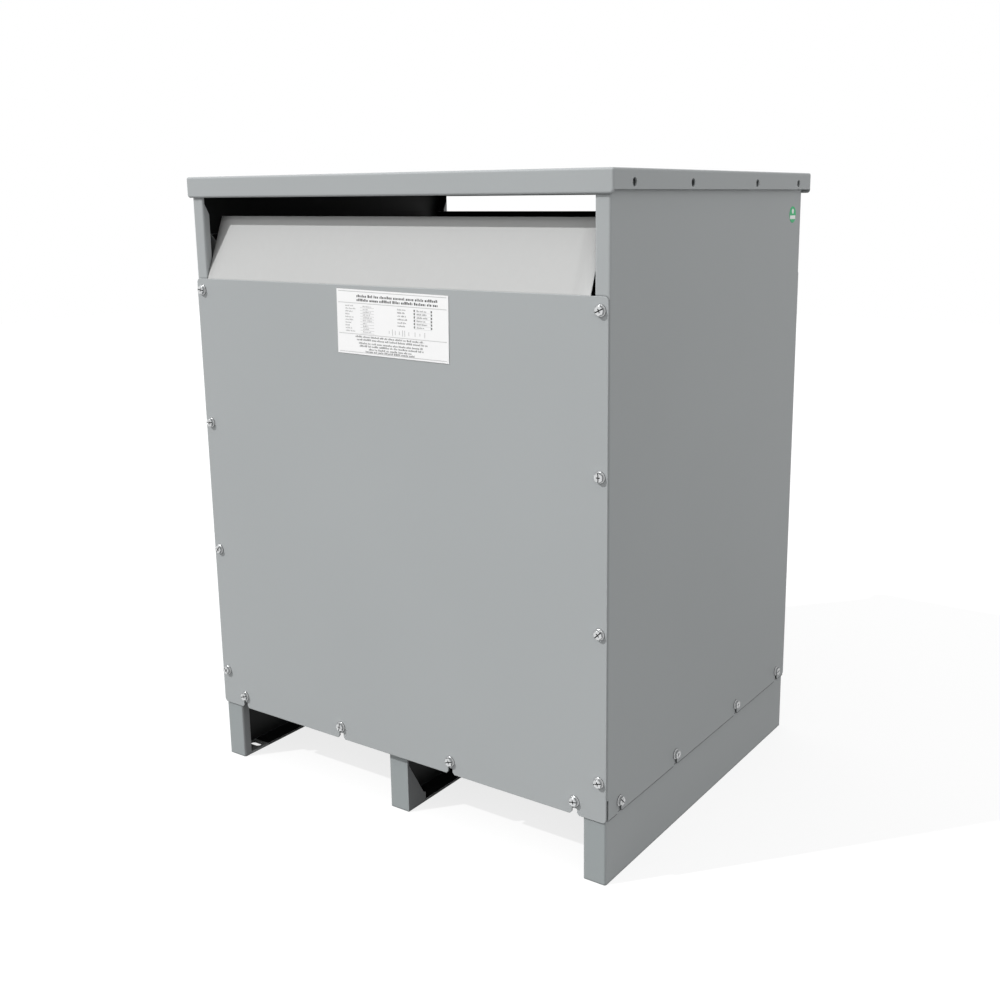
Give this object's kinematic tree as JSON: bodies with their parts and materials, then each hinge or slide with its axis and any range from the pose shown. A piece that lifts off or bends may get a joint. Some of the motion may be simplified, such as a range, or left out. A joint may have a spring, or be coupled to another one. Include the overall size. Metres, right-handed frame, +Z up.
{
  "type": "dry type transformer",
  "caption": "Floor-standing ventilated dry type transformer: core and coils on rails inside a grey sheet steel housing with a vent slot front and back under an overhanging lid.",
  "frame": {"origin": "on the floor, midway between the four floor bolt slots", "axes": "+X to the right along the front, +Y to the back, +Z up"},
  "size_m": [0.6206, 0.5209, 0.7799],
  "materials": {
    "painted_housing": "light grey baked powder coat",
    "zinc_screw": "bright zinc plate",
    "painted_clamp": "dark grey primer",
    "plated_bolt": "zinc plate",
    "core_steel": "varnished silicon steel",
    "inner_winding": "varnished strip and paper",
    "outer_winding": "varnished wire under wrap",
    "insulating_board": "glass polyester board",
    "terminal_bar": "bare bar, tinned at the joint",
    "pad_rubber": "moulded",
    "plate_film": "white printed film",
    "sticker_film": "green printed film"
  },
  "bodies": {
    "root": {"core_stack": "core_steel", "data_plate": "plate_film", "duct_sticks": "insulating_board", "front_baffle": "painted_housing", "front_core_support": "painted_housing", "front_cover": "painted_housing", "front_cover_screws": "zinc_screw", "front_cross_member": "painted_housing", "front_left_pad": "pad_rubber", "front_left_stiffener": "painted_housing", "front_right_pad": "pad_rubber", "front_right_stiffener": "painted_housing", "ground_lug": "terminal_bar", "left_high_voltage_coil": "outer_winding", "left_low_voltage_bar": "terminal_bar", "left_low_voltage_coil": "inner_winding", "left_phase_barrier": "insulating_board", "left_phase_link": "terminal_bar", "left_tap_board": "insulating_board", "lower_coil_blocks": "insulating_board", "lower_front_clamp": "painted_clamp", "lower_rear_clamp": "painted_clamp", "middle_high_voltage_coil": "outer_winding", "middle_low_voltage_bar": "terminal_bar", "middle_low_voltage_coil": "inner_winding", "middle_tap_board": "insulating_board", "neutral_bar": "terminal_bar", "outer_phase_link": "terminal_bar", "pad_bolts": "plated_bolt", "rail_centre": "painted_housing", "rail_left": "painted_housing", "rail_right": "painted_housing", "rear_baffle": "painted_housing", "rear_core_support": "painted_housing", "rear_cover": "painted_housing", "rear_cover_screws": "zinc_screw", "rear_cross_member": "painted_housing", "rear_left_pad": "pad_rubber", "rear_left_stiffener": "painted_housing", "rear_right_pad": "pad_rubber", "rear_right_stiffener": "painted_housing", "right_high_voltage_coil": "outer_winding", "right_low_voltage_bar": "terminal_bar", "right_low_voltage_coil": "inner_winding", "right_phase_barrier": "insulating_board", "right_phase_link": "terminal_bar", "right_tap_board": "insulating_board", "round_sticker": "sticker_film", "side_panel_left": "painted_housing", "side_panel_right": "painted_housing", "side_panel_screws": "zinc_screw", "support_bolts": "plated_bolt", "tap_studs": "plated_bolt", "tie_rods": "plated_bolt", "top_cover": "painted_housing", "top_yoke": "core_steel", "upper_coil_blocks": "insulating_board", "upper_front_clamp": "painted_clamp", "upper_rear_clamp": "painted_clamp", "yoke_bolts": "plated_bolt"}
  },
  "joints": []
}
